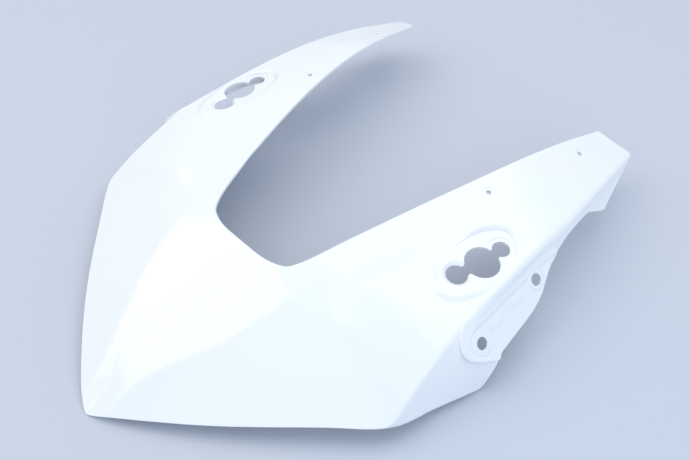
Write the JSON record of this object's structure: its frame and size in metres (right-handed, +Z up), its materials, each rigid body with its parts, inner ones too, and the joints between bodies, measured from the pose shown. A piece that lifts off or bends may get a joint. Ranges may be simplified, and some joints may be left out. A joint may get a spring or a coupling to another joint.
{
  "type": "motorcycle front cowl",
  "caption": "Front upper cowl moulding of a sports motorcycle, with two rearward arms round the windscreen gap, mirror seats and side mounting flanges.",
  "frame": {"origin": "centre of the bounding box at the resting plane, on the mirror plane", "axes": "+Z up, nose to -Y, arms to +Y, the mirror plane is X = 0"},
  "size_m": [0.4412, 0.5352, 0.0841],
  "materials": {
    "shell": "gloss white, bare ABS moulding"
  },
  "bodies": {
    "root": {"nose_cowl": "shell"}
  },
  "joints": []
}
